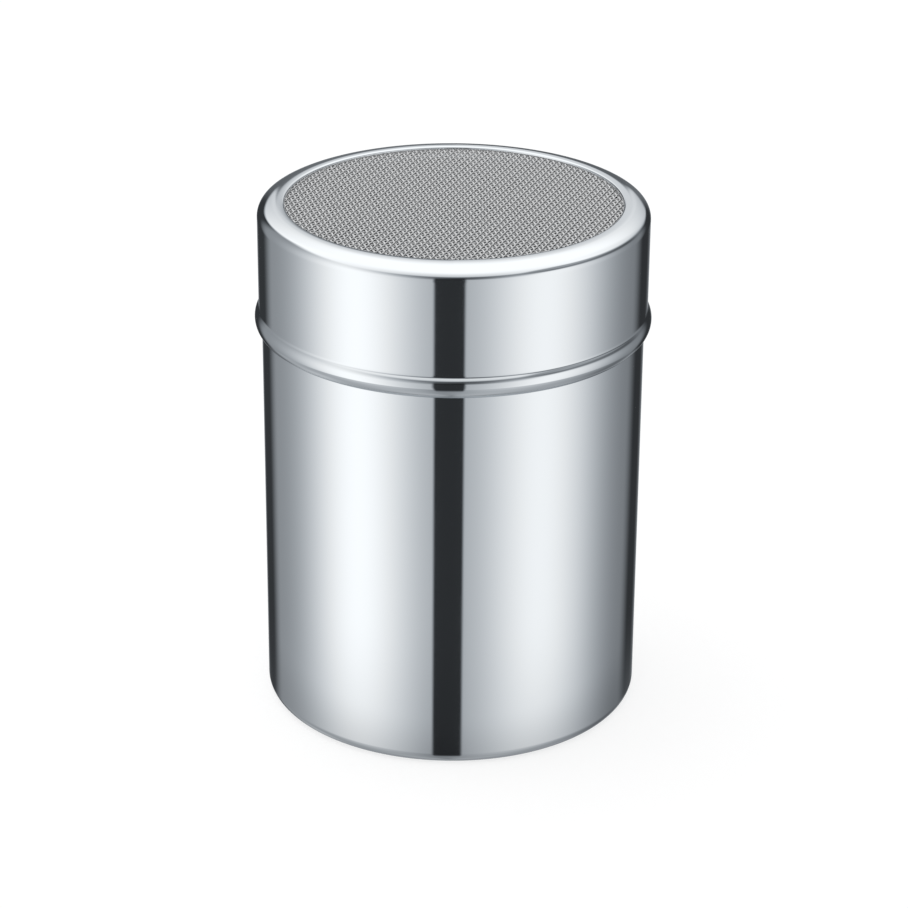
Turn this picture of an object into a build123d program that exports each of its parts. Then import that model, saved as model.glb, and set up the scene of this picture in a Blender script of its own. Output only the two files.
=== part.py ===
from build123d import *
import os
from math import acos, cos, degrees, floor, radians, sin

# Powder shaker for spices, sugar or cocoa: a drawn stainless steel canister and a push-on lid.
# The lid's top is a disc of woven wire cloth, clamped between the lid's flange and a ring
# that is pressed into the lid from below. The ring's edge also stops the lid on the canister's rim.
# Millimetres, +Z up. The origin is on the axis, in the plane that the canister stands on.

# Canister
canister_diameter = 70.0  # outside
canister_height = 91.0  # foot to rim
base_corner_radius = 2.0  # outside, wall to foot
foot_width = 3.0  # flat ring that touches the table
base_recess = 0.8  # the panel inside the foot is raised by this much
foot_bend_radius = 1.5  # outside of the bend that leaves the foot
panel_bend_radius = 1.0  # outside of the bend that joins the panel
rim_chamfer = 0.15  # deburred outer edge of the rim

# Lid
lid_depth = 24.0  # top to the end of the skirt
lid_headroom = 5.8  # lid top above the canister's rim
lid_clearance = 0.07  # radial slip fit of the skirt on the canister
clamp_width = 1.15  # flat part of the flange, from the opening to the corner
lip_round = 0.45  # upper edge of the opening, almost the whole sheet
crown_radius = 5.5  # outside, from the flat flange into the corner
skirt_bend_radius = 2.2  # outside, from the corner into the skirt
skirt_bend_angle = 60.0  # degrees of the corner that the tighter bend takes
bead_radius = 2.6  # outside of the stiffening bead at the skirt's end
bead_rise = 0.74  # bead's crest beyond the skirt
bead_fillet_radius = 0.9  # hollow between the skirt and the bead

# Retaining ring
ring_setback = 0.4  # ring's inner edge behind the opening's edge
ring_bend_radius = 3.0  # outside, from the ring's flat into its leg

# Sheet and wire
sheet = 0.5  # canister, lid and ring
wire_size = 0.32
warp_pitch = 1.10
weft_pitch = 0.88
warp_direction = 26.0  # degrees from +X that the warp wires run in
weft_direction = 104.0  # the cloth is a little out of square
margin_setback = 0.2  # cloth's pressed margin behind the opening's edge

# What follows from them
canister_radius = canister_diameter / 2
lid_inner_radius = canister_radius + lid_clearance
lid_outer_radius = lid_inner_radius + sheet
corner_width = skirt_bend_radius + (crown_radius - skirt_bend_radius) * cos(radians(skirt_bend_angle))
cloth_radius = lid_outer_radius - corner_width
opening_radius = cloth_radius - clamp_width
overall_height = canister_height + lid_headroom
cloth_top = overall_height - sheet
cloth_underside = cloth_top - 2 * wire_size
bead_centre_radius = lid_outer_radius + bead_rise - bead_radius
bead_tilt = degrees(acos(1 - bead_rise / (bead_radius + bead_fillet_radius)))


def profile_face(outside, inside):
    """Close two rows of edges, radius across and height up, into one half section."""
    start = Line(outside[0] @ 0, inside[0] @ 0)
    end = Line(outside[-1] @ 1, inside[-1] @ 1)
    return make_face([*outside, *inside, start, end])


def corner_at(section, radius, height):
    """The half section's corner that lies at the given place."""
    return section.vertices().sort_by_distance((radius, height, 0))[0]


def spin(section):
    """Turn a half section round the Z axis."""
    return revolve(Plane.XZ * section, Axis.Z)


def canister_face(depth):
    """Rim to axis, on the sheet's face that lies depth inside the canister's outer face."""
    wall = Line(
        (canister_radius - depth, canister_height),
        (canister_radius - depth, base_corner_radius),
    )
    corner = JernArc(wall @ 1, wall % 1, base_corner_radius - depth, -90)
    foot = Line(corner @ 1, (corner @ 1) - (foot_width, 0))
    rise_angle = degrees(acos(1 - base_recess / (foot_bend_radius + panel_bend_radius)))
    foot_bend = JernArc(foot @ 1, foot % 1, foot_bend_radius - depth, -rise_angle)
    panel_bend = JernArc(foot_bend @ 1, foot_bend % 1, panel_bend_radius + depth, rise_angle)
    panel = Line(panel_bend @ 1, (0, base_recess + depth))
    return [wall, corner, foot, foot_bend, panel_bend, panel]


def make_canister():
    """Drawn cup with a trimmed rim and a base panel raised inside its foot."""
    section = profile_face(canister_face(0), canister_face(sheet))
    rim_edge = corner_at(section, canister_radius, canister_height)
    return spin(chamfer(rim_edge, rim_chamfer))


def lid_face(depth):
    """Opening to skirt end, on the sheet's face that lies depth inside the lid's outer face."""
    curl = degrees(acos((lid_inner_radius - bead_centre_radius) / (bead_radius - depth)))
    outer_curl = acos((lid_inner_radius - bead_centre_radius) / bead_radius)
    bead_height = overall_height - lid_depth + bead_radius * sin(outer_curl)
    hollow_height = bead_height + (bead_radius + bead_fillet_radius) * sin(radians(bead_tilt))
    flange_height = overall_height - depth
    flange = Line((opening_radius, flange_height), (cloth_radius, flange_height))
    crown = JernArc(flange @ 1, flange % 1, crown_radius - depth, skirt_bend_angle - 90)
    bend = JernArc(crown @ 1, crown % 1, skirt_bend_radius - depth, -skirt_bend_angle)
    skirt = Line(bend @ 1, (lid_outer_radius - depth, hollow_height))
    hollow = JernArc(skirt @ 1, skirt % 1, bead_fillet_radius + depth, bead_tilt)
    bead = JernArc(hollow @ 1, hollow % 1, bead_radius - depth, -bead_tilt - curl)
    return [flange, crown, bend, skirt, hollow, bead]


def make_lid_shell():
    """Drawn lid: open flange, soft corner, skirt and a bead whose edge is sized to the bore."""
    section = profile_face(lid_face(0), lid_face(sheet))
    lip = corner_at(section, opening_radius, overall_height)
    return spin(fillet(lip, lip_round))


def ring_face(depth):
    """Flat to leg, on the sheet's face that lies depth inside the ring's outer face."""
    flat_height = cloth_underside - depth
    flat_end = lid_inner_radius - ring_bend_radius
    flat = Line((opening_radius + ring_setback, flat_height), (flat_end, flat_height))
    bend = JernArc(flat @ 1, flat % 1, ring_bend_radius - depth, -90)
    leg = Line(bend @ 1, (lid_inner_radius - depth, canister_height))
    return [flat, bend, leg]


def make_retaining_ring():
    """Pressed ring that holds the cloth up against the flange and ends on the canister's rim."""
    return spin(profile_face(ring_face(0), ring_face(sheet)))


def make_wires(pitch, direction, underside):
    """Parallel wires that run into their half of the cloth's flat-pressed margin."""
    margin = Circle(cloth_radius) - Circle(opening_radius + margin_setback)
    wires_each_side = floor(opening_radius / pitch)
    rows = GridLocations(0, pitch, 1, 2 * wires_each_side + 1)
    wires = Sketch() + [row * Rectangle(2 * cloth_radius, wire_size) for row in rows]
    layer = Rot(0, 0, direction) * (wires & Circle(cloth_radius)) + margin
    return extrude(Pos(0, 0, underside) * layer, wire_size)


sub_parts = {
    "canister": make_canister(),
    "lid_shell": make_lid_shell(),
    "retaining_ring": make_retaining_ring(),
    "warp_wires": make_wires(warp_pitch, warp_direction, cloth_underside + wire_size),
    "weft_wires": make_wires(weft_pitch, weft_direction, cloth_underside),
}

os.makedirs("parts", exist_ok=True)
for name, sub_part in sub_parts.items():
    export_step(sub_part, f"parts/{name}.step")
    print(name, "volume", round(sub_part.volume, 1), "mm3")
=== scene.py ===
# %% [markdown]
# # A powder shaker in polished steel
#
# The object is small and has only five pieces: a drawn canister, a push-on lid, a pressed ring
# inside the lid, and the two sets of wires that are woven into the sieve. The engineering model
# fixes where each piece is and how the lid lifts. This script gives the pieces the finish that
# the eye expects: mirror-bright sheet, real bends, and a cloth whose wires pass over and under.

# %% Load the engineering model
from math import acos, cos, degrees, pi, radians, sin

import bmesh
import bpy
import numpy as np
from mathutils import Matrix, Vector


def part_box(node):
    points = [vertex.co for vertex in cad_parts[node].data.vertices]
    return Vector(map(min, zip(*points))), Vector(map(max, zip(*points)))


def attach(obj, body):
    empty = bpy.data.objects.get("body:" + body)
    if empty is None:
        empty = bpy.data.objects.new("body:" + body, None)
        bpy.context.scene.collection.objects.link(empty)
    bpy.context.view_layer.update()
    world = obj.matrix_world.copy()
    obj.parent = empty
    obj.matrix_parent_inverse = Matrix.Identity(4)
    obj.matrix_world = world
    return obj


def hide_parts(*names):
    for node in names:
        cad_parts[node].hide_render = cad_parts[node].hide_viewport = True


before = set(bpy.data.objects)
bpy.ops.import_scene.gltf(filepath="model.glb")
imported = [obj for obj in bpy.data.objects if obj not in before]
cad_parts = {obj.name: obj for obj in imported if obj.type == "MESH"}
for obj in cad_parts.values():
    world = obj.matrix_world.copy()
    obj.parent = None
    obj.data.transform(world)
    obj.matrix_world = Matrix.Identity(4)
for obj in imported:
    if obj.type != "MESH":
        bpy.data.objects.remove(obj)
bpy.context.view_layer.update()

MM = 0.001
UP = Vector((0, 0, 1))
bpy.ops.object.select_all(action="DESELECT")

# %% [markdown]
# ## Sizes
#
# The big sizes are read from the model, so the looks can never drift from it: the canister's
# radius and height, the lid's top and the end of its skirt, and the height of the cloth. The
# bends are too small to be read from a box, so they are named here, in millimetres.

# %% Sizes from the model
canister_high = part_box("canister")[1] / MM
lid_low, lid_high = (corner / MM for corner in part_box("lid_shell"))
ring_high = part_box("retaining_ring")[1] / MM
cloth_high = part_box("warp_wires")[1] / MM

canister_radius = round(canister_high.x, 2)
rim_height = round(canister_high.z, 2)
lid_top = round(lid_high.z, 2)
skirt_end = round(lid_low.z, 2)
bore_radius = round(ring_high.x, 2)  # inside of the lid's skirt, where the ring sits
cloth_radius = round(cloth_high.x, 2)
cloth_top = round(cloth_high.z, 2)
ring_top = round(ring_high.z, 2)
print("canister radius", canister_radius, "rim at", rim_height)
print("lid from", skirt_end, "to", lid_top, "cloth radius", cloth_radius, "top at", cloth_top)

# %% Bends and thicknesses, in millimetres
sheet = round(lid_top - cloth_top, 2)
skirt_radius = bore_radius + sheet

base_corner = 2.0  # outside of the bend from the wall to the foot
foot_width = 3.0  # flat ring that touches the table
foot_bend = 1.5
panel_bend = 1.0
base_recess = 0.8  # the panel inside the foot is raised by this much
rim_chamfer = 0.15

flat_width = 1.15  # flat part of the flange, from the opening to the crown
lip_round = 0.45
crown_radius = 5.5
corner_radius = 2.2
corner_turn = 60.0  # degrees of the corner that the tighter bend takes
bead_radius = 2.6
bead_rise = 0.74  # the bead's crest beyond the skirt
hollow_radius = 0.9

ring_setback = 0.4  # the ring's inner edge behind the opening's edge
ring_bend = 3.0
margin_setback = 0.2  # the cloth's pressed rim behind the opening's edge

opening_radius = cloth_radius - flat_width
print("sheet", sheet, "opening radius", round(opening_radius, 2))

# %% [markdown]
# ## Drawing a bent sheet
#
# A spun or drawn sheet could be modelled as one surface and thickened with Solidify. Here the
# lid's edge is cut to fit the canister, and the lip of the opening is rounded on one side only,
# so the whole thickness of the sheet is drawn instead. A point is pulled along the section:
# straight runs are extrusions, and every bend is a spin about the bend's own centre. Then the
# section is spun once round the upright axis, as on a lathe.
#
# A straight run gets an extra point near each end. These are support loops: without them the
# soft shading of a bend would spread up the whole wall, and a mirror shows that at once.

# %% A pen that draws lines and bends
SUPPORT = 0.25  # distance of a support point from the end of a run, in millimetres
LONG_RUN = 4 * SUPPORT  # a shorter run gets no support points


def start_outline(name, radius, height):
    """Begin a new piece with a single point of its half section."""
    bpy.ops.object.select_all(action="DESELECT")
    bpy.ops.mesh.primitive_plane_add(size=MM)
    piece = bpy.context.object
    piece.name = piece.data.name = name
    bpy.ops.object.mode_set(mode="EDIT")
    bpy.ops.mesh.select_all(action="SELECT")
    bpy.ops.mesh.merge(type="CENTER")
    bpy.ops.transform.translate(value=(radius * MM, 0, height * MM))
    return piece


def pen_position():
    """Where the selected end of the outline is, in millimetres."""
    mesh = bmesh.from_edit_mesh(bpy.context.object.data)
    point = next(vertex.co for vertex in mesh.verts if vertex.select)
    return Vector((point.x, point.z)) / MM


def line_to(radius, height):
    """Pull the outline straight to a place, with support points on a long run."""
    run = Vector((radius, height)) - pen_position()
    stops = [1.0]
    if run.length > LONG_RUN:
        near = SUPPORT / run.length
        stops = [near, 1 - near, 1.0]
    done = 0.0
    for stop in stops:
        step = run * (stop - done) * MM
        bpy.ops.mesh.extrude_region_move(TRANSFORM_OT_translate={"value": (step.x, 0, step.y)})
        done = stop


def bend(centre, turn, steps):
    """Pull the outline round a bend's centre. A positive turn goes from +X towards +Z."""
    bpy.ops.mesh.spin(
        steps=steps,
        angle=radians(turn),
        center=(centre[0] * MM, 0, centre[1] * MM),
        axis=(0, 1, 0),
    )


print("pen ready: support points", SUPPORT, "mm from the ends of a run longer than", LONG_RUN, "mm")

# %% Lathe and deburring
LATHE_STEPS = 256
HIDDEN_LATHE_STEPS = 192  # for what shows only inside the lid
SAME_POINT = 0.0005  # points nearer than this become one, in millimetres
DEBURR_WIDTH = 0.05  # millimetres
SHEARED_EDGE = 40  # degrees between two faces, from which their edge is deburred
SMOOTH_BEND = 50  # degrees between two faces, up to which they are shaded as one bend


def turn_on_lathe(steps=LATHE_STEPS):
    """Spin the finished section round the upright axis and close seam and poles."""
    bpy.ops.mesh.select_all(action="SELECT")
    bpy.ops.mesh.spin(steps=steps, angle=2 * pi, center=(0, 0, 0), axis=(0, 0, 1))
    bpy.ops.mesh.select_all(action="SELECT")
    bpy.ops.mesh.remove_doubles(threshold=SAME_POINT * MM)
    bpy.ops.mesh.normals_make_consistent(inside=False)
    bpy.ops.mesh.select_all(action="DESELECT")
    bpy.ops.object.mode_set(mode="OBJECT")


def soften_edges(piece):
    """Take the knife edge off every sheared edge, then shade the bends smooth."""
    bevel = piece.modifiers.new("Deburr", "BEVEL")
    bevel.width = DEBURR_WIDTH * MM
    bevel.segments = 2
    bevel.limit_method = "ANGLE"
    bevel.angle_limit = radians(SHEARED_EDGE)
    bpy.context.view_layer.objects.active = piece
    bpy.ops.object.modifier_apply(modifier=bevel.name)
    piece.select_set(True)
    bpy.ops.object.shade_smooth_by_angle(angle=radians(SMOOTH_BEND))
    piece.select_set(False)
    print(piece.name, "faces", len(piece.data.polygons))


# %% [markdown]
# ## The canister
#
# A drawn cup. Its base is not flat: a narrow foot touches the table, and the panel inside it
# steps up by less than a millimetre, which stiffens the disc and keeps it from rocking. The
# section starts on the axis inside the cup, climbs the inner wall, crosses the rim and comes
# down the outer wall to the axis again. Both ends lie on the axis, so the spun shell is closed.

# %% Draw and turn the canister
step_turn = degrees(acos(1 - base_recess / (foot_bend + panel_bend)))
wall_centre = (canister_radius - base_corner, base_corner)
foot_centre = (wall_centre[0] - foot_width, foot_bend)
reach = foot_bend + panel_bend
panel_centre = (foot_centre[0] - reach * sin(radians(step_turn)), base_recess - panel_bend)
canister_bore = canister_radius - sheet

canister = start_outline("polished_canister", 0, base_recess + sheet)
line_to(panel_centre[0], base_recess + sheet)
bend(panel_centre, -step_turn, steps=8)
bend(foot_centre, step_turn, steps=6)
line_to(wall_centre[0], sheet)
bend(wall_centre, 90, steps=14)
line_to(canister_bore, rim_height)
line_to(canister_radius - rim_chamfer, rim_height)
line_to(canister_radius, rim_height - rim_chamfer)
line_to(canister_radius, base_corner)
bend(wall_centre, -90, steps=20)
line_to(foot_centre[0], 0)
bend(foot_centre, -step_turn, steps=8)
bend(panel_centre, step_turn, steps=6)
line_to(0, base_recess)
turn_on_lathe()
soften_edges(canister)

# %% [markdown]
# ## The lid
#
# The lid is drawn too. A flat flange surrounds the opening, then the sheet turns down in two
# bends, a wide one that rounds the top and a tighter one that meets the skirt. At the bottom
# the sheet flares over a small hollow and rolls into a bead, which stiffens the skirt and gives
# the fingers a hold. The bead's edge comes back in just as far as the bore and no further.

# %% Draw and turn the lid
corner_shift = crown_radius - corner_radius
crown_centre = (cloth_radius, lid_top - crown_radius)
corner_centre = (
    crown_centre[0] + corner_shift * cos(radians(corner_turn)),
    crown_centre[1] + corner_shift * sin(radians(corner_turn)),
)
bead_centre_radius = skirt_radius + bead_rise - bead_radius
bore_offset = bore_radius - bead_centre_radius
outer_curl = degrees(acos(bore_offset / bead_radius))
inner_curl = degrees(acos(bore_offset / (bead_radius - sheet)))
flare = degrees(acos(1 - bead_rise / (bead_radius + hollow_radius)))
bead_centre = (bead_centre_radius, skirt_end + bead_radius * sin(radians(outer_curl)))
hollow_height = bead_centre[1] + (bead_radius + hollow_radius) * sin(radians(flare))
hollow_centre = (skirt_radius + hollow_radius, hollow_height)
lip_centre = (opening_radius + lip_round, lid_top - lip_round)

lid = start_outline("polished_lid", opening_radius, cloth_top)
line_to(crown_centre[0], cloth_top)
bend(crown_centre, corner_turn - 90, steps=10)
bend(corner_centre, -corner_turn, steps=14)
line_to(bore_radius, hollow_height)
bend(hollow_centre, flare, steps=10)
bend(bead_centre, -flare - inner_curl, steps=22)
line_to(bore_radius, skirt_end)
bend(bead_centre, outer_curl + flare, steps=32)
bend(hollow_centre, -flare, steps=10)
line_to(skirt_radius, corner_centre[1])
bend(corner_centre, corner_turn, steps=20)
bend(crown_centre, 90 - corner_turn, steps=14)
line_to(lip_centre[0], lid_top)
bend(lip_centre, 90, steps=8)
line_to(opening_radius, cloth_top)
turn_on_lathe()
soften_edges(lid)

# %% [markdown]
# ## The ring
#
# Inside the lid a plain ring is pressed up against the cloth. It has a flat that mirrors the
# flange above it, one generous bend, and a leg that grips the bore. The end of the leg is also
# the stop that lands on the canister's rim.

# %% Draw and turn the ring
ring_inner = opening_radius + ring_setback
ring_centre = (bore_radius - ring_bend, ring_top - ring_bend)

ring = start_outline("pressed_ring", ring_inner, ring_top)
line_to(ring_centre[0], ring_top)
bend(ring_centre, -90, steps=12)
line_to(bore_radius, rim_height)
line_to(bore_radius - sheet, rim_height)
line_to(bore_radius - sheet, ring_centre[1])
bend(ring_centre, 90, steps=12)
line_to(ring_inner, ring_top - sheet)
line_to(ring_inner, ring_top)
turn_on_lathe(steps=HIDDEN_LATHE_STEPS)
soften_edges(ring)

# %% [markdown]
# ## The woven cloth
#
# Plain weave: every wire goes over one neighbour and under the next. A picture of a weave on a
# flat disc would look right only from far above, and it would let no light through, so each
# wire is a real tube. One wave of one wire is modelled: a six-sided circle is extruded in steps
# that rise and fall. An Array repeats the wave along the wire, a second one adds the next wire
# half a wave out of step, and a third fills the disc. The cloth is a little out of square, as
# cut cloth is, so the two steps are not at right angles. It was rolled flat after weaving, so
# the wires bed into each other where they cross, and the weft stands slightly proud.

# %% Cloth sizes
wire_radius = (cloth_top - ring_top) / 4  # the cloth is two wires thick
weft_thicker = 0.01  # added to the weft's radius and taken from the warp's
wave_rise = 0.115  # from the middle of a wave to its top
weft_proud = 0.03  # the weft lies this much above the middle of the cloth, the warp below it
warp_step = Vector((0.810, 0.397, 0))  # from crossing to crossing along a warp wire
weft_step = Vector((-0.270, 1.100, 0))  # the same along a weft wire
cloth_middle = (cloth_top + ring_top) / 2
margin_radius = opening_radius + margin_setback
wire_end = 0.3  # the wires run this far into the pressed rim
trim_radius = margin_radius + wire_end
print("wire diameter", round(2 * wire_radius, 3))
print("from crossing to crossing", round(warp_step.length, 3), round(weft_step.length, 3))

# %% Rows of copies, and the cut round the disc
WIRE_SIDES = 6
JOIN_WITHIN = 0.002  # copies that meet within this are joined, in millimetres


def repeat(piece, count, offset):
    """Copy the mesh in a row with an Array, joined where the copies meet, and apply it."""
    array = piece.modifiers.new("Row", "ARRAY")
    array.count = count
    array.use_relative_offset = False
    array.use_constant_offset = True
    array.constant_offset_displace = offset * MM
    array.use_merge_vertices = True
    array.merge_threshold = JOIN_WITHIN * MM
    bpy.ops.object.modifier_apply(modifier=array.name)


def trim_to_disc(wires, heading, sideways, spacing):
    """Delete what lies outside the disc, each wire cut square to itself, and cap the ends."""
    places = np.empty(len(wires.data.vertices) * 3)
    wires.data.vertices.foreach_get("co", places)
    places = places.reshape(-1, 3) / MM
    ring_along = places @ np.array(heading)
    wire_row = np.round(places @ np.array(sideways) / spacing) * spacing
    outside = np.hypot(ring_along, wire_row) > trim_radius
    wires.data.vertices.foreach_set("select", outside)
    bpy.ops.object.mode_set(mode="EDIT")
    bpy.ops.mesh.select_mode(type="VERT")
    bpy.ops.mesh.delete(type="VERT")
    bpy.ops.mesh.select_all(action="SELECT")
    bpy.ops.mesh.fill_holes(sides=WIRE_SIDES)
    bpy.ops.mesh.select_all(action="SELECT")
    bpy.ops.mesh.normals_make_consistent(inside=False)
    bpy.ops.mesh.select_all(action="DESELECT")
    bpy.ops.object.mode_set(mode="OBJECT")
    wires.select_set(False)
    print(wires.name, "vertices", len(wires.data.vertices))


# %% One set of wires
CROSSING_STEPS = 4  # ring positions from one crossing to the next
SPARE_CLOTH = 2.0  # woven beyond the disc before it is cut, in millimetres


def weave_wires(name, along, across, radius, lift, rise):
    """Make the wires that run along one step, spaced by the other, and trim them to the disc."""
    reach = (trim_radius + SPARE_CLOTH) / sin(along.angle(across))
    waves = int(reach / along.length) + 1
    pairs = int(reach / across.length) + 1
    start = -waves * along - pairs * across
    heading = along.normalized()
    sideways = heading.cross(UP)
    bpy.ops.object.select_all(action="DESELECT")
    bpy.ops.mesh.primitive_circle_add(vertices=WIRE_SIDES, radius=radius * MM)
    wires = bpy.context.object
    wires.name = wires.data.name = name
    upright = Matrix((sideways, UP, -heading)).transposed()
    place = (start + UP * (cloth_middle + lift + rise)) * MM
    wires.matrix_world = Matrix.Translation(place) @ upright.to_4x4()
    bpy.ops.object.transform_apply(location=True, rotation=True, scale=True)
    bpy.ops.object.mode_set(mode="EDIT")
    bpy.ops.mesh.select_all(action="SELECT")
    height = rise
    for step in range(1, 2 * CROSSING_STEPS + 1):
        next_height = rise * cos(pi * step / CROSSING_STEPS)
        move = along / CROSSING_STEPS + UP * (next_height - height)
        height = next_height
        bpy.ops.mesh.extrude_region_move(TRANSFORM_OT_translate={"value": move * MM})
    bpy.ops.object.mode_set(mode="OBJECT")
    repeat(wires, waves, 2 * along)
    repeat(wires, 2, along + across)
    repeat(wires, pairs, 2 * across)
    trim_to_disc(wires, heading, sideways, abs(across.dot(sideways)))
    return wires


# %% Weave the cloth
warp = weave_wires(
    "woven_warp", along=warp_step, across=weft_step,
    radius=wire_radius - weft_thicker, lift=-weft_proud, rise=wave_rise,
)
weft = weave_wires(
    "woven_weft", along=weft_step, across=warp_step,
    radius=wire_radius + weft_thicker, lift=weft_proud, rise=-wave_rise,
)

# %% [markdown]
# Where the flange and the ring grip the cloth, the press has flattened the weave into a solid
# rim. Each set of wires keeps its half of it, as a flat ring that the wires run into. Seen from
# a low angle, the rim closes the space between the last wires and the flange.

# %% Press the rim
SMOOTH_WIRE = 70  # degrees between two faces of a wire, up to which it is shaded round


def press_rim(wires, low, high):
    """Join a flat ring to a set of wires, and shade the two together."""
    rim = start_outline("pressed_rim", margin_radius, low)
    line_to(cloth_radius, low)
    line_to(cloth_radius, high)
    line_to(margin_radius, high)
    line_to(margin_radius, low)
    turn_on_lathe(steps=HIDDEN_LATHE_STEPS)
    wires.select_set(True)
    rim.select_set(True)
    bpy.context.view_layer.objects.active = wires
    bpy.ops.object.join()
    bpy.ops.object.shade_smooth_by_angle(angle=radians(SMOOTH_WIRE))
    wires.select_set(False)
    print(wires.name, "triangles", sum(len(face.vertices) - 2 for face in wires.data.polygons))


press_rim(warp, low=cloth_middle, high=cloth_top)
press_rim(weft, low=ring_top, high=cloth_middle)

# %% [markdown]
# ## Polished steel
#
# Steel has no colour of its own to paint: it is a metallic surface with a cool, slightly grey
# reflectance, and everything else is what it reflects. What makes it believable are faults that
# are almost too small to see. Two are shared by every sheet, so they are one node group: fine
# buffing lines that run round the object, and a slow unevenness of the polish.

# %% Small helpers for node trees


def add(tree, kind, values=None, **settings):
    """Add a node, set its properties, and link or set its inputs."""
    node = tree.nodes.new(kind)
    for key, value in settings.items():
        setattr(node, key, value)
    for socket, value in (values or {}).items():
        if isinstance(value, bpy.types.NodeSocket):
            tree.links.new(value, node.inputs[socket])
        else:
            node.inputs[socket].default_value = value
    return node


def group(name, inputs, outputs):
    """Start a shader node group with named number or vector sockets."""
    tree = bpy.data.node_groups.new(name, "ShaderNodeTree")
    for label, kind, value in inputs:
        socket = tree.interface.new_socket(label, in_out="INPUT", socket_type=kind)
        if value is not None:
            socket.default_value = value
    for label, kind in outputs:
        tree.interface.new_socket(label, in_out="OUTPUT", socket_type=kind)
    return tree, add(tree, "NodeGroupInput"), add(tree, "NodeGroupOutput")


def calculate(tree, operation, first, second=0.0):
    """One Math node; returns its output."""
    return add(tree, "ShaderNodeMath", {0: first, 1: second}, operation=operation).outputs[0]


def multiply(tree, first, second):
    """The product of two values."""
    return calculate(tree, "MULTIPLY", first, second)


def plus(tree, first, second):
    """The sum of two values."""
    return calculate(tree, "ADD", first, second)


# %% Buffing lines and uneven polish
NUMBER, VECTOR = "NodeSocketFloat", "NodeSocketVector"
ALONG_A_LINE = 60.0  # a buffing line changes this often on its way round, per metre

buffing, given, made = group(
    "Buffed sheet",
    [("Place", VECTOR, None), ("Lines per metre", NUMBER, 9000.0), ("Wave per metre", NUMBER, 38.0)],
    [("Lines", NUMBER), ("Waves", NUMBER), ("Cloud", NUMBER)],
)
squeeze = add(
    buffing, "ShaderNodeCombineXYZ",
    {0: ALONG_A_LINE, 1: ALONG_A_LINE, 2: given.outputs["Lines per metre"]},
)
stretched = add(
    buffing, "ShaderNodeVectorMath",
    {0: given.outputs["Place"], 1: squeeze.outputs[0]}, operation="MULTIPLY",
)
lines = add(buffing, "ShaderNodeTexNoise", {"Vector": stretched.outputs[0], "Scale": 1.0, "Detail": 3.0})
waves = add(
    buffing, "ShaderNodeTexNoise",
    {"Vector": given.outputs["Place"], "Scale": given.outputs["Wave per metre"], "Detail": 1.0},
)
cloud = add(
    buffing, "ShaderNodeTexNoise",
    {"Vector": given.outputs["Place"], "Scale": 95.0, "Detail": 4.0, "Roughness": 0.6},
)
buffing.links.new(lines.outputs["Fac"], made.inputs["Lines"])
buffing.links.new(waves.outputs["Fac"], made.inputs["Waves"])
buffing.links.new(cloud.outputs["Fac"], made.inputs["Cloud"])
print("group", buffing.name, [socket.name for socket in buffing.interface.items_tree])

# %% Sheet materials
STEEL = (0.775, 0.80, 0.82, 1)
NOISE_RANGE = {"From Min": 0.3, "From Max": 0.7}  # nearly all of a noise's values lie between


def sheet_steel(name, roughness, spread, line_height, wave_height, metallic=1.0):
    """A polished, satin or plain sheet. Heights of lines and waves are in metres."""
    material = bpy.data.materials.new(name)
    material.use_nodes = True
    tree = material.node_tree
    shader = tree.nodes["Principled BSDF"]
    shader.inputs["Base Color"].default_value = STEEL
    shader.inputs["Metallic"].default_value = metallic
    place = add(tree, "ShaderNodeTexCoord").outputs["Object"]
    marks = add(tree, "ShaderNodeGroup", node_tree=buffing)
    tree.links.new(place, marks.inputs["Place"])
    results = {"To Min": roughness - spread, "To Max": roughness + spread}
    rough = add(tree, "ShaderNodeMapRange", {"Value": marks.outputs["Cloud"], **NOISE_RANGE, **results})
    tree.links.new(rough.outputs["Result"], shader.inputs["Roughness"])
    line_shape = multiply(tree, marks.outputs["Lines"], line_height)
    wave_shape = multiply(tree, marks.outputs["Waves"], wave_height)
    shape = plus(tree, line_shape, wave_shape)
    bump = add(tree, "ShaderNodeBump", {"Strength": 1.0, "Distance": 1.0, "Height": shape})
    tree.links.new(bump.outputs["Normal"], shader.inputs["Normal"])
    print(name, "roughness", roughness, "lines", line_height, "waves", wave_height)
    return material


mirror_steel = sheet_steel(
    "mirror_steel", roughness=0.045, spread=0.015, line_height=4e-8, wave_height=6e-6,
)
satin_steel = sheet_steel(
    "satin_steel", roughness=0.22, spread=0.04, line_height=4e-7, wave_height=6e-6, metallic=0.9,
)
mill_steel = sheet_steel(
    "mill_steel", roughness=0.24, spread=0.05, line_height=3e-7, wave_height=6e-6,
)

# %% [markdown]
# Wire is another matter. It is drawn through a die and then pickled, so it has no polish: it
# scatters light nearly as a pale solid does, and a mirror finish on thousands of thin wires
# would only sparkle. So it gets a plain shader of its own, mostly dull, with a fine grain.

# %% Wire material
WIRE = (0.73, 0.735, 0.74, 1)
GRAIN_PER_METRE = 900.0

dull_wire = bpy.data.materials.new("dull_wire")
dull_wire.use_nodes = True
tree = dull_wire.node_tree
shader = tree.nodes["Principled BSDF"]
shader.inputs["Base Color"].default_value = WIRE
shader.inputs["Metallic"].default_value = 0.35
place = add(tree, "ShaderNodeTexCoord").outputs["Object"]
drawn = add(tree, "ShaderNodeTexNoise", {"Vector": place, "Scale": GRAIN_PER_METRE, "Detail": 2.0})
rough = add(
    tree, "ShaderNodeMapRange",
    {"Value": drawn.outputs["Fac"], **NOISE_RANGE, "To Min": 0.72, "To Max": 0.82},
)
tree.links.new(rough.outputs["Result"], shader.inputs["Roughness"])
print(dull_wire.name, "nodes", len(tree.nodes))

# %% [markdown]
# ## Which face gets which finish
#
# The outside of both sheets is buffed to a mirror. The inside keeps the dull satin of the
# drawing press, because nobody reaches in with a buffing wheel. A face belongs to the inside
# when it looks towards the axis, or when it faces into the hollow.

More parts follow.
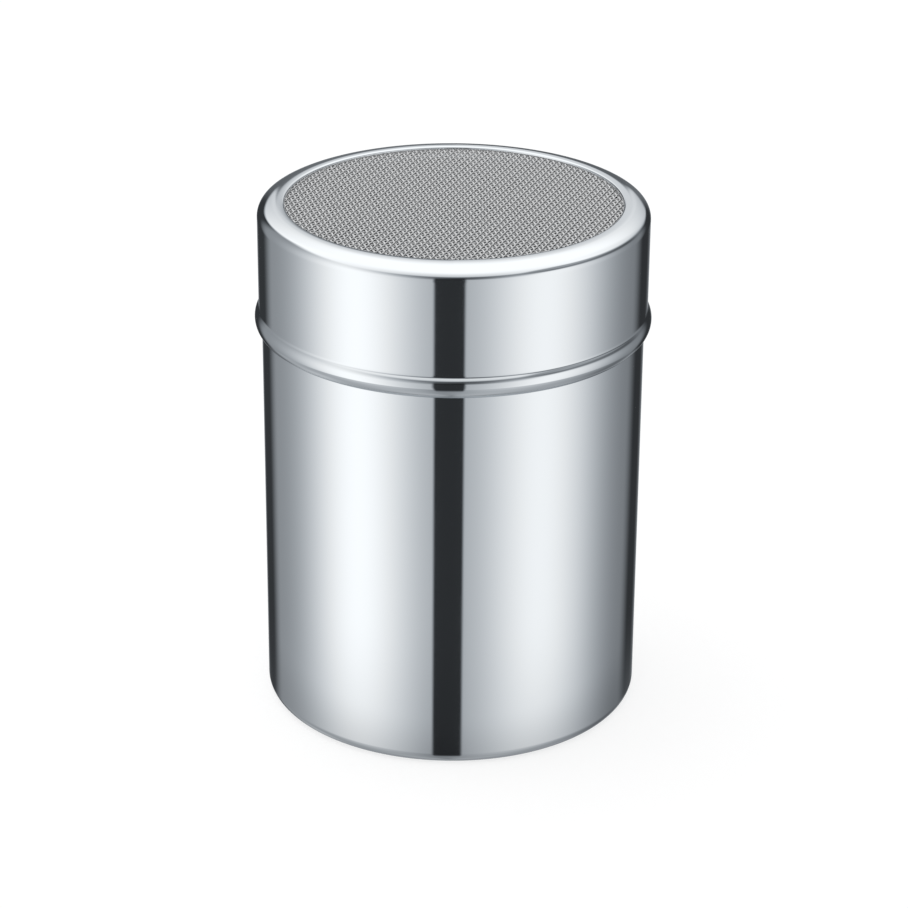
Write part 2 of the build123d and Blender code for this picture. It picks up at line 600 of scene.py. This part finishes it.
# %% Give out the finishes
BORE_SLACK = 0.02  # a face this near the bore is still on the inner wall, in millimetres
LIP_SLACK = 0.01  # a face this little above the cloth is still under the flange
AT_AXIS = 0.01  # a face this near the axis has no outward side
TURNED = 0.1  # a normal's part along a direction, from which the face looks that way
FACING_DOWN = 0.3


def dress(piece, outside, inside, is_inside):
    """Put the outside finish on a piece, and the inside finish on the faces that are chosen."""
    piece.data.materials.clear()
    piece.data.materials.append(outside)
    piece.data.materials.append(inside)
    for face in piece.data.polygons:
        radius = Vector(face.center.xy).length / MM
        outward = face.normal.xy.dot(face.center.xy.normalized()) if radius > AT_AXIS else 0.0
        if is_inside(radius, face.center.z / MM, outward, face.normal.z):
            face.material_index = 1
    print(piece.name, "inside faces", sum(face.material_index for face in piece.data.polygons))


def in_canister(radius, height, outward, upward):
    """The inner wall looks towards the axis, and the floor looks up."""
    return radius < canister_bore + BORE_SLACK and (outward < -TURNED or upward > TURNED)


def in_lid(radius, height, outward, upward):
    """The skirt's inner wall looks towards the axis, and the flange's underside looks down."""
    looks_down = upward < -FACING_DOWN and radius < bore_radius
    return height < cloth_top + LIP_SLACK and (outward < -TURNED or looks_down)


dress(canister, mirror_steel, satin_steel, in_canister)
dress(lid, mirror_steel, satin_steel, in_lid)
ring.data.materials.append(mill_steel)
warp.data.materials.append(dull_wire)
weft.data.materials.append(dull_wire)

# %% [markdown]
# ## Tying the pieces down
#
# On the real shaker the ring and the cloth are pressed into the lid and lift with it. So each
# piece hides the node that it stands for, and rides on that node's body.

# %% Tie the pieces to the engineering model
for piece, body, node, slot in (
    (canister, "canister", "canister", "canister_steel"),
    (lid, "lid", "lid_shell", "lid_steel"),
    (ring, "lid", "retaining_ring", "ring_steel"),
    (warp, "lid", "warp_wires", "wire_steel"),
    (weft, "lid", "weft_wires", "wire_steel"),
):
    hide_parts(node)
    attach(piece, body)
    print(piece.name, "rides on", body)


# %% [markdown]
# ## The studio
#
# A mirror is lit by drawing what it reflects. In a product studio that is a tent: white cloth
# on both sides and overhead, a pale table, a dark slit in front where the camera looks in, and
# dark gaps at the back where the cloths end. Here the tent is one large dome that only
# reflections can see, with the same parts painted on it as light. Directions on it are given
# as azimuth, from the front to the right, and elevation above the horizon.

# %% Painting helpers


def ramp(tree, value, low, high, kind="LINEAR"):
    """0 below low and 1 above high, with a change between. High may be under low."""
    ends = {"From Min": min(low, high), "From Max": max(low, high)}
    results = {"To Min": float(low > high), "To Max": float(high > low)}
    values = {"Value": value, **ends, **results}
    return add(tree, "ShaderNodeMapRange", values, interpolation_type=kind).outputs["Result"]


def smooth_step(tree, value, low, high):
    """A ramp with soft ends."""
    return ramp(tree, value, low, high, kind="SMOOTHSTEP")


def band(tree, value, low, high, soft):
    """1 between low and high, fading to 0 over soft on both sides."""
    rise = smooth_step(tree, value, low - soft, low + soft)
    return multiply(tree, rise, smooth_step(tree, value, high + soft, high - soft))


def lobe(tree, value, centre, width):
    """A bell curve, as the bright middle of a lit cloth has."""
    distance = calculate(tree, "DIVIDE", calculate(tree, "SUBTRACT", value, centre), width)
    falling = multiply(tree, multiply(tree, distance, distance), -1.0)
    return calculate(tree, "EXPONENT", falling)


def blend(tree, mask, low, high):
    """Low where the mask is 0 and high where it is 1."""
    return add(tree, "ShaderNodeMix", {0: mask, 2: low, 3: high}, data_type="FLOAT").outputs[0]


def dim(tree, value, mask, share):
    """Darken a value by a share of the mask."""
    return multiply(tree, value, calculate(tree, "SUBTRACT", 1.0, multiply(tree, mask, share)))


# %% Start the tent's paint
tent_paint = bpy.data.materials.new("tent_paint")
tent_paint.use_nodes = True
tree = tent_paint.node_tree
tree.nodes.clear()
place = add(tree, "ShaderNodeTexCoord").outputs["Object"]
towards = add(tree, "ShaderNodeVectorMath", {0: place}, operation="NORMALIZE")
parts = add(tree, "ShaderNodeSeparateXYZ", {0: towards.outputs[0]})
forwards = multiply(tree, parts.outputs["Y"], -1.0)
azimuth = calculate(tree, "DEGREES", calculate(tree, "ARCTAN2", parts.outputs["X"], forwards))
elevation = calculate(tree, "DEGREES", calculate(tree, "ARCSINE", parts.outputs["Z"]))
sideways = calculate(tree, "ABSOLUTE", azimuth)
print("direction nodes", len(tree.nodes))

# %% [markdown]
# The side cloths are brightest in the middle, where their lamps stand, so each is a bell curve
# over a dim base. They end in two dark gaps at the back, with the pale backdrop between them.
# All angles from here on are in degrees, and all glows are strengths, where 1 is white.

# %% Side cloths and gaps
LEFT_GLOW = 0.94
RIGHT_GLOW = 0.82
BASE_GLOW = 0.292

left_cloth = multiply(tree, lobe(tree, azimuth, centre=-58.2, width=38.3), LEFT_GLOW)
right_cloth = multiply(tree, lobe(tree, azimuth, centre=55.0, width=39.6), RIGHT_GLOW)
walls = plus(tree, plus(tree, left_cloth, right_cloth), BASE_GLOW)
right_fade = smooth_step(tree, azimuth, low=81.0, high=138.0)
walls = dim(tree, walls, right_fade, share=0.25)
left_gap = band(tree, azimuth, low=-168.0, high=-139.5, soft=8.0)
walls = dim(tree, walls, left_gap, share=0.865)
right_gap = band(tree, azimuth, low=137.0, high=163.0, soft=8.0)
walls = dim(tree, walls, right_gap, share=0.84)
print("nodes with the side cloths", len(tree.nodes))

# %% Backdrop
BACKDROP_GLOW = 0.15

behind = smooth_step(tree, sideways, low=164.0, high=172.0)
over_table = multiply(tree, behind, smooth_step(tree, elevation, low=-8.0, high=-3.0))
walls = dim(tree, walls, over_table, share=0.40)
backdrop = multiply(tree, behind, smooth_step(tree, elevation, low=-3.0, high=-9.0))
walls = plus(tree, walls, multiply(tree, backdrop, BACKDROP_GLOW))
print("nodes with the backdrop", len(tree.nodes))

# %% [markdown]
# The roof's edge is high in front and comes down towards the back on both sides. The cloth is
# in its shade for some way below the edge, most of all over the camera, where the hood hangs.
# That shade is the dark line that runs along the bend at the top of the lid.

# %% Roof edge
FRONT_EDGE = 36.0  # elevation of the roof's edge in front
RIGHT_DROP = 31.8  # how far it comes down on the right
LEFT_DROP = 23.7
RIGHT_RISE = 6.0  # how far it first goes up on the right
REAR_RISE = 6.8

right_drop = multiply(tree, ramp(tree, azimuth, low=71.0, high=143.5), RIGHT_DROP)
left_drop = multiply(tree, smooth_step(tree, azimuth, low=-120.5, high=-168.5), LEFT_DROP)
right_rise = multiply(tree, smooth_step(tree, azimuth, low=40.0, high=59.0), RIGHT_RISE)
rear_rise = multiply(tree, smooth_step(tree, sideways, low=168.0, high=174.0), REAR_RISE)
roof_edge = plus(tree, plus(tree, right_rise, rear_rise), FRONT_EDGE)
roof_edge = calculate(tree, "SUBTRACT", roof_edge, plus(tree, right_drop, left_drop))
above_edge = calculate(tree, "SUBTRACT", elevation, roof_edge)
print("nodes with the roof's edge", len(tree.nodes))

# %% Shade under the roof's edge
SINKING = 0.2  # degrees that the dark line on the right sinks for each degree of azimuth

in_shade = band(tree, azimuth, low=-57.0, high=103.0, soft=40.0)
under_edge = multiply(tree, smooth_step(tree, above_edge, low=-33.0, high=2.0), in_shade)
walls = dim(tree, walls, under_edge, share=0.60)
hood_height = band(tree, elevation, low=14.0, high=34.5, soft=3.0)
hood = multiply(tree, lobe(tree, azimuth, centre=7.0, width=24.0), hood_height)
walls = dim(tree, walls, hood, share=0.60)
shade_height = band(tree, elevation, low=20.0, high=43.0, soft=4.0)
right_shade = multiply(tree, lobe(tree, azimuth, centre=55.0, width=28.0), shade_height)
walls = dim(tree, walls, right_shade, share=0.35)
line_height = plus(tree, elevation, multiply(tree, azimuth, SINKING))
line_height = band(tree, line_height, low=31.0, high=43.0, soft=4.0)
right_line = multiply(tree, band(tree, azimuth, low=48.0, high=128.0, soft=12.0), line_height)
walls = dim(tree, walls, right_line, share=0.58)
print("nodes with the shade", len(tree.nodes))

# %% [markdown]
# Far down the mirror sees the table: pale, with some light from the cloths on it, darker at the
# right and where the camera's own shade falls.

# %% Table as the mirror sees it
TABLE_GLOW = 0.434
POOL_GLOW = 0.21
REAR_POOL_GLOW = 0.175
STEEP_SHARE = 0.45  # what is left of the pools where the table is seen from steeply above

glancing = smooth_step(tree, elevation, low=-51.5, high=-35.0)
glancing = blend(tree, glancing, low=STEEP_SHARE, high=1.0)
left_pool = multiply(tree, lobe(tree, azimuth, centre=-53.0, width=27.7), POOL_GLOW)
right_pool = multiply(tree, lobe(tree, azimuth, centre=43.0, width=27.7), POOL_GLOW)
table = plus(tree, multiply(tree, plus(tree, left_pool, right_pool), glancing), TABLE_GLOW)
far_right = lobe(tree, azimuth, centre=125.5, width=31.0)
far_right = multiply(tree, far_right, smooth_step(tree, elevation, low=-61.0, high=-40.0))
table = dim(tree, table, far_right, share=0.63)
far_left = lobe(tree, azimuth, centre=-152.0, width=14.0)
far_left = multiply(tree, far_left, smooth_step(tree, elevation, low=-48.0, high=-34.0))
table = dim(tree, table, far_left, share=0.68)
rear_pool = lobe(tree, azimuth, centre=-122.0, width=24.0)
rear_pool = multiply(tree, rear_pool, lobe(tree, elevation, centre=-50.0, width=8.0))
table = plus(tree, table, multiply(tree, rear_pool, REAR_POOL_GLOW))
camera_shade = lobe(tree, azimuth, centre=-6.0, width=14.0)
table = dim(tree, table, camera_shade, share=0.30)
print("nodes with the table", len(tree.nodes))

# %% [markdown]
# Walls and table meet a little below the horizon. The slit that the camera looks in by is a tall
# dark band in front of both, and it is what draws the black stripe down the shaker.

# %% Walls, table and slit together
table_seen = smooth_step(tree, elevation, low=-26.6, high=-32.6)
lower = blend(tree, table_seen, low=walls, high=table)
slit_height = band(tree, elevation, low=-41.0, high=25.0, soft=12.0)
slit = multiply(tree, band(tree, azimuth, low=-10.9, high=6.9, soft=1.15), slit_height)
lower = dim(tree, lower, slit, share=0.935)
print("nodes below the roof", len(tree.nodes))

# %% The roof's light, and all of it together
ROOF_GLOW = 1.27
REAR_CRISPNESS = 3.0  # the roof's edge is this much sharper at the rear

in_front = lobe(tree, azimuth, centre=0.0, width=63.0)
in_front = multiply(tree, in_front, smooth_step(tree, elevation, low=80.0, high=40.0))
rear_right = smooth_step(tree, azimuth, low=88.0, high=150.0)
rear_left = smooth_step(tree, azimuth, low=-130.0, high=-175.0)
rear_middle = smooth_step(tree, sideways, low=166.0, high=172.0)
rear_sides = dim(tree, plus(tree, rear_right, rear_left), rear_middle, share=0.22)
at_rear = multiply(tree, rear_sides, smooth_step(tree, above_edge, low=39.0, high=-10.0))
roof_light = dim(tree, ROOF_GLOW, in_front, share=0.40)
roof_light = dim(tree, roof_light, at_rear, share=0.63)
crispness = smooth_step(tree, sideways, low=140.0, high=165.0)
crispness = blend(tree, crispness, low=1.0, high=REAR_CRISPNESS)
roof = smooth_step(tree, multiply(tree, above_edge, crispness), low=-5.0, high=8.0)
strength = blend(tree, roof, low=lower, high=roof_light)
print("nodes with the roof", len(tree.nodes))

# %% [markdown]
# Dim cloth looks cooler than bright cloth, as it does in a real studio, so the tint follows
# the strength.

# %% Tint and glow
DIM_TINT = (0.925, 1.0, 1.085, 1)
BRIGHT_TINT = (0.995, 1.0, 1.003, 1)

brightness = ramp(tree, strength, low=0.0, high=1.0)
tint = add(tree, "ShaderNodeMix", {0: brightness, 6: DIM_TINT, 7: BRIGHT_TINT}, data_type="RGBA")
glow = add(tree, "ShaderNodeEmission", {"Color": tint.outputs[2], "Strength": strength})
add(tree, "ShaderNodeOutputMaterial", {"Surface": glow.outputs[0]})
print("paint nodes", len(tree.nodes))

# %% Hang the tent
TENT_RADIUS = 4.0


def only_reflected(stand):
    """Let reflections alone see a part of the studio."""
    stand.visible_camera = False
    stand.visible_diffuse = False
    stand.visible_transmission = False
    stand.visible_shadow = False


bpy.ops.object.select_all(action="DESELECT")
bpy.ops.mesh.primitive_uv_sphere_add(segments=64, ring_count=32, radius=TENT_RADIUS)
tent = bpy.context.object
tent.name = tent.data.name = "light_tent"
tent.data.materials.append(tent_paint)
tent_paint.cycles.emission_sampling = "NONE"
only_reflected(tent)
print(tent.name, "radius", TENT_RADIUS)

# %% [markdown]
# ## Table, background and lamp
#
# The table and the background are plain white. The table keeps the soft shadow under the
# object, so it is partly a lit surface and partly its own light. A wide lamp overhead gives
# that shadow its direction; reflections don't see it, because they have the tent.

# %% Table
TABLE_SIZE = 8.0
SELF_LIT = 0.70  # what the table adds to the lamp's light on it, so that it reaches white

bpy.ops.mesh.primitive_plane_add(size=TABLE_SIZE)
floor = bpy.context.object
floor.name = floor.data.name = "white_table"
table_paint = bpy.data.materials.new("table_paint")
table_paint.use_nodes = True
tree = table_paint.node_tree
shader = tree.nodes["Principled BSDF"]
shader.inputs["Base Color"].default_value = (0.36, 0.36, 0.36, 1)
shader.inputs["Roughness"].default_value = 0.9
shader.inputs["Specular IOR Level"].default_value = 0.0
shader.inputs["Emission Color"].default_value = (1, 1, 1, 1)
path = add(tree, "ShaderNodeLightPath")
seen = calculate(tree, "MAXIMUM", path.outputs["Is Camera Ray"], path.outputs["Is Transmission Ray"])
tree.links.new(multiply(tree, seen, SELF_LIT), shader.inputs["Emission Strength"])
floor.data.materials.append(table_paint)
floor.visible_glossy = False
print(floor.name, "size", TABLE_SIZE)

# %% [markdown]
# Close to the foot the table lies in the object's own shade, and the polished wall shows it. The
# tent is too far away to know about that, so a thin disc level with the table dims it. Only
# reflections see the disc: dark at the foot, and fading to nothing a hand's width away.

# %% Shade at the foot
SHADE_REACH = 0.13
UNDER_FOOT = 0.00005  # the disc lies this far below the foot, so that they don't meet
FOOT_DARKNESS = 0.18
WIDE_DARKNESS = 0.02

bpy.ops.mesh.primitive_circle_add(
    vertices=96, radius=SHADE_REACH, fill_type="NGON", location=(0, 0, -UNDER_FOOT),
)
shade = bpy.context.object
shade.name = shade.data.name = "foot_shade"
shade_paint = bpy.data.materials.new("shade_paint")
shade_paint.use_nodes = True
tree = shade_paint.node_tree
tree.nodes.clear()
place = add(tree, "ShaderNodeTexCoord").outputs["Object"]
flat_place = add(tree, "ShaderNodeVectorMath", {0: place, 1: (1, 1, 0)}, operation="MULTIPLY")
outwards = add(tree, "ShaderNodeVectorMath", {0: flat_place.outputs[0]}, operation="LENGTH")
outwards = outwards.outputs["Value"]
near_foot = multiply(tree, smooth_step(tree, outwards, low=0.054, high=0.034), FOOT_DARKNESS)
around = multiply(tree, smooth_step(tree, outwards, low=SHADE_REACH, high=0.035), WIDE_DARKNESS)
clear = add(tree, "ShaderNodeBsdfTransparent")
dark = add(tree, "ShaderNodeEmission", {"Strength": 0.0})
darkness = plus(tree, near_foot, around)
mixed = add(tree, "ShaderNodeMixShader", {0: darkness, 1: clear.outputs[0], 2: dark.outputs[0]})
add(tree, "ShaderNodeOutputMaterial", {"Surface": mixed.outputs[0]})
shade.data.materials.append(shade_paint)
only_reflected(shade)
print(shade.name, "reaches", SHADE_REACH)

# %% Background and lamp
ROOM_LIGHT = 0.85
SEEN_WHITE = 1.05  # the background as the camera sees it, just over white

world = bpy.data.worlds.new("white_room")
bpy.context.scene.world = world
world.use_nodes = True
tree = world.node_tree
tree.nodes["Background"].inputs["Color"].default_value = (1, 1, 1, 1)
seen = add(tree, "ShaderNodeLightPath").outputs["Is Camera Ray"]
room = blend(tree, seen, low=ROOM_LIGHT, high=SEEN_WHITE)
tree.links.new(room, tree.nodes["Background"].inputs["Strength"])

bpy.ops.object.light_add(type="AREA", location=(-0.25, 0.10, 0.9))
lamp = bpy.context.object
lamp.name = "wide_lamp"
lamp.data.shape = "DISK"
lamp.data.size = 0.6
lamp.data.energy = 1.2
lamp.rotation_euler = (lamp.location * -1).to_track_quat("-Z", "Y").to_euler()
lamp.visible_glossy = False
print("lamp power", lamp.data.energy)

# %% [markdown]
# ## Camera
#
# The shaker is looked down on from half a metre, high enough to show the cloth and low enough
# to show the walls. A short lens close by would make the lid bulge and the walls run together
# towards the foot, so the lens is long. A small shift puts the object in the middle of the
# picture without turning the camera.

# %% Camera
view_height = 23.81  # degrees above the horizon
view_distance = 0.5515
lens = 117.1
lean = 0.42  # degrees that the camera leans
target = Vector((0, 0, 0.050))

back = Vector((0, -cos(radians(view_height)), sin(radians(view_height))))
camera_data = bpy.data.cameras.new("camera")
camera = bpy.data.objects.new("camera", camera_data)
bpy.context.scene.collection.objects.link(camera)
place = Matrix.Translation(target + back * view_distance)
facing = (-back).to_track_quat("-Z", "Y").to_matrix().to_4x4()
camera.matrix_world = place @ facing @ Matrix.Rotation(radians(lean), 4, "Z")
camera_data.lens = lens
camera_data.sensor_width = 36.0
camera_data.shift_x = 0.0019
camera_data.shift_y = -0.0186
camera_data.clip_start = 0.01
camera_data.clip_end = 20.0
bpy.context.scene.camera = camera
bpy.context.scene.view_settings.view_transform = "Standard"
print("camera at", [round(part, 4) for part in camera.matrix_world.translation])
